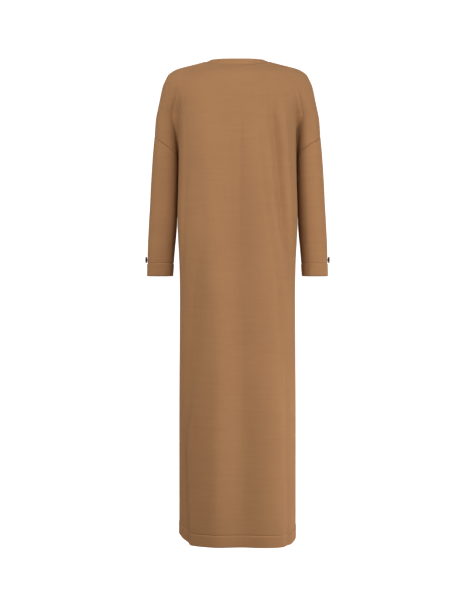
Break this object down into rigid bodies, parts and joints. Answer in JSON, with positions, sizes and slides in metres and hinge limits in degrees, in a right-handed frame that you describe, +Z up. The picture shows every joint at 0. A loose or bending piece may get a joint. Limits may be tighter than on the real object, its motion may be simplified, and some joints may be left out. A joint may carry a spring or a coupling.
{
  "type": "sweater dress",
  "caption": "Long knitted pullover dress with a round neck band, drop shoulders, straight sleeves with a button at the cuff and a turned hem, filled out and hollow.",
  "frame": {"origin": "between the shoulders, level with the side neck points, where the wearer's shoulders carry the dress", "axes": "+X towards the wearer's right, +Y towards the wearer's front, +Z up along the dress"},
  "size_m": [0.5184, 0.239, 1.342],
  "materials": {
    "knit": "fine plain knit, matt with a soft nap",
    "button": "polished dark horn colour"
  },
  "bodies": {
    "root": {"back_bodice": "knit", "back_skirt": "knit", "front_bodice": "knit", "front_skirt": "knit", "sleeve_right": "knit", "sleeve_left": "knit", "neck_band": "knit", "button_right": "button", "button_left": "button"}
  },
  "joints": []
}
